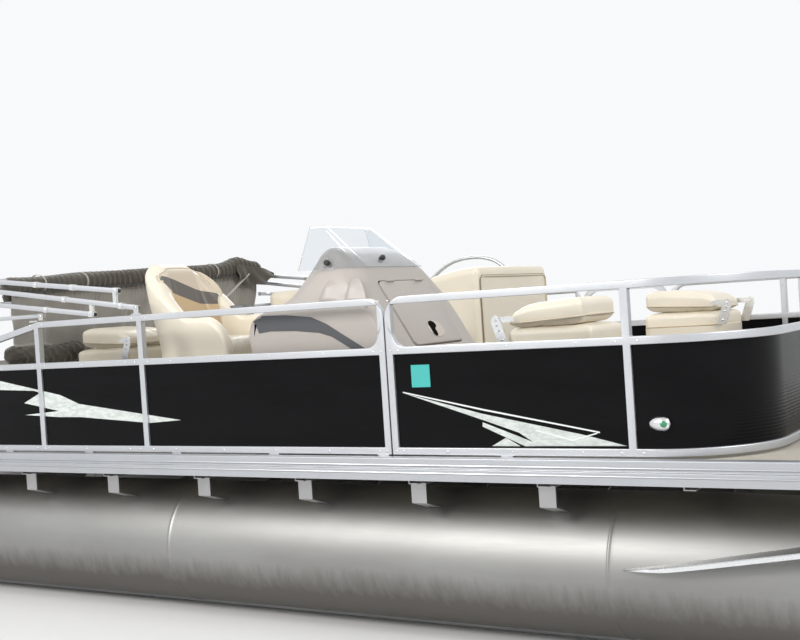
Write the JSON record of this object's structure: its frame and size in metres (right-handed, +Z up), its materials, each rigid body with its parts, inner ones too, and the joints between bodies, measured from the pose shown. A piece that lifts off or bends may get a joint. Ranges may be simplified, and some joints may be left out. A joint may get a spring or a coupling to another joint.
{
  "type": "pontoon boat",
  "caption": "Railed deck on two welded round floats, with helm console, lounge, swivel chairs, folded sun canopy, three gates and a tilting steered outboard motor",
  "frame": {"origin": "centre of the footprint on the ground under the two floats' keels", "axes": "+X to the bow, +Y to port, +Z up"},
  "size_m": [7.9061, 2.57, 1.87],
  "materials": {
    "anodised_rail": "satin clear-anodised square tube",
    "tube_aluminium": "brushed mill-finish welded sheet",
    "black_panel": "satin black coil-coated corrugated sheet",
    "deck_carpet": "short outdoor carpet",
    "console_white": "gloss moulded plastic",
    "beige_vinyl": "soft marine vinyl with welting",
    "grey_canvas": "woven marine canvas",
    "seat_base_plastic": "rotomoulded plastic",
    "clear_acrylic": "clear acrylic",
    "motor_black": "gloss black paint",
    "stainless": "polished stainless",
    "dark_plastic": "textured black plastic",
    "iron_block": "plain block, hidden"
  },
  "bodies": {
    "hull": {"starboard_tube": "tube_aluminium", "port_tube": "tube_aluminium", "riser_brackets": "tube_aluminium", "cross_beams": "tube_aluminium", "deck_board": "deck_carpet", "deck_trim": "anodised_rail", "motor_pod": "tube_aluminium", "starboard_aft_fence": "anodised_rail", "starboard_fore_fence": "anodised_rail", "port_aft_fence": "anodised_rail", "port_fore_fence": "anodised_rail", "starboard_panels": "black_panel", "port_panels": "black_panel", "console_shell": "console_white", "windscreen": "clear_acrylic", "chair_pedestals": "tube_aluminium", "lounge_base": "seat_base_plastic", "lounge_seats": "beige_vinyl", "lounge_back": "beige_vinyl", "lounge_end_back": "beige_vinyl", "bimini_brackets": "stainless", "transom_bracket": "motor_black", "ladder_hinges": "stainless", "deck_cleats": "stainless", "side_lights": "stainless"},
    "side_gate_leaf": {"side_gate": "anodised_rail"},
    "bow_gate_leaf": {"bow_gate": "anodised_rail"},
    "stern_gate_leaf": {"stern_gate": "anodised_rail"},
    "console_hatch": {"console_door": "console_white"},
    "helm_wheel": {"steering_wheel": "dark_plastic"},
    "helm_seat": {"helm_chair": "beige_vinyl"},
    "starboard_bow_seat": {"starboard_bow_chair_seat": "seat_base_plastic"},
    "starboard_bow_back": {"starboard_bow_chair_back": "seat_base_plastic"},
    "port_bow_seat": {"port_bow_chair_seat": "seat_base_plastic"},
    "port_bow_back": {"port_bow_chair_back": "seat_base_plastic"},
    "stern_seat": {"stern_chair_seat": "seat_base_plastic"},
    "stern_back": {"stern_chair_back": "seat_base_plastic"},
    "bimini_bows": {"bimini_frame": "anodised_rail", "bimini_boot": "grey_canvas"},
    "bimini_braces": {"bimini_struts": "anodised_rail"},
    "motor_tilt": {"swivel_bracket": "motor_black"},
    "motor_steer": {"outboard_leg": "motor_black", "outboard_cowling": "motor_black", "engine_block": "iron_block"},
    "motor_prop": {"propeller": "stainless"},
    "ladder": {"boarding_ladder": "stainless"}
  },
  "joints": [
    {"name": "side_gate_hinge", "type": "hinge", "parent": "hull", "child": "side_gate_leaf", "pos_m": [1.49907, 1.203, 1.125], "axis": [0, 0, -1], "range_deg": [0, 90]},
    {"name": "bow_gate_hinge", "type": "hinge", "parent": "hull", "child": "bow_gate_leaf", "pos_m": [3.17107, -0.372, 1.125], "axis": [0, 0, 1], "range_deg": [0, 90]},
    {"name": "stern_gate_hinge", "type": "hinge", "parent": "hull", "child": "stern_gate_leaf", "pos_m": [-1.75493, -0.322, 1.125], "axis": [0, 0, -1], "range_deg": [0, 90]},
    {"name": "console_door_hinge", "type": "hinge", "parent": "hull", "child": "console_hatch", "pos_m": [1.43916, -0.76, 1.59203], "axis": [0, -1, 0], "range_deg": [0, 110]},
    {"name": "helm_wheel_shaft", "type": "hinge", "parent": "hull", "child": "helm_wheel", "pos_m": [0.70307, -0.725, 1.365], "axis": [-0.866, 0, 0.5], "range_deg": [-540, 540]},
    {"name": "helm_chair_swivel", "type": "hinge", "parent": "hull", "child": "helm_seat", "pos_m": [0.23307, -0.725, 1.225], "axis": [0, 0, 1], "continuous": true},
    {"name": "starboard_bow_chair_swivel", "type": "hinge", "parent": "hull", "child": "starboard_bow_seat", "pos_m": [2.23907, -0.77, 1.185], "axis": [0, 0, 1], "continuous": true},
    {"name": "starboard_bow_chair_fold", "type": "hinge", "parent": "starboard_bow_seat", "child": "starboard_bow_back", "pos_m": [2.00907, -0.77, 1.37], "axis": [0, -1, 0], "range_deg": [0, 100]},
    {"name": "port_bow_chair_swivel", "type": "hinge", "parent": "hull", "child": "port_bow_seat", "pos_m": [2.40507, 0.62, 1.185], "axis": [0, 0, 1], "continuous": true},
    {"name": "port_bow_chair_fold", "type": "hinge", "parent": "port_bow_seat", "child": "port_bow_back", "pos_m": [2.63507, 0.62, 1.37], "axis": [0, 1, 0], "range_deg": [0, 100]},
    {"name": "stern_chair_swivel", "type": "hinge", "parent": "hull", "child": "stern_seat", "pos_m": [-0.55693, -0.59, 1.185], "axis": [0, 0, 1], "continuous": true},
    {"name": "stern_chair_fold", "type": "hinge", "parent": "stern_seat", "child": "stern_back", "pos_m": [-0.32693, -0.59, 1.37], "axis": [0, 1, 0], "range_deg": [0, 100]},
    {"name": "bimini_fold", "type": "hinge", "parent": "hull", "child": "bimini_bows", "pos_m": [0.15507, 0, 1.548], "axis": [0, 1, 0], "range_deg": [0, 80]},
    {"name": "bimini_brace_fold", "type": "hinge", "parent": "hull", "child": "bimini_braces", "pos_m": [-0.58293, 0, 1.545], "axis": [0, 1, 0], "range_deg": [0, 146]},
    {"name": "outboard_tilt", "type": "hinge", "parent": "hull", "child": "motor_tilt", "pos_m": [-2.90693, 0, 0.745], "axis": [0, 1, 0], "range_deg": [-50, 20]},
    {"name": "outboard_steer", "type": "hinge", "parent": "motor_tilt", "child": "motor_steer", "pos_m": [-3.12195, 0, 0.72122], "axis": [0.766, 0, 0.6428], "range_deg": [-32, 32]},
    {"name": "propeller_shaft", "type": "hinge", "parent": "motor_steer", "child": "motor_prop", "pos_m": [-3.85573, 0, 0.56893], "axis": [0.6428, 0, -0.766], "continuous": true},
    {"name": "ladder_fold", "type": "hinge", "parent": "hull", "child": "ladder", "pos_m": [-2.61193, -0.76, 0.848], "axis": [0, -1, 0], "range_deg": [0, 262]}
  ],
  "couplings": [
    {"joint": "outboard_steer", "follows": "helm_wheel_shaft", "ratio": 0.05926},
    {"joint": "bimini_brace_fold", "follows": "bimini_fold", "ratio": 1.82}
  ]
}
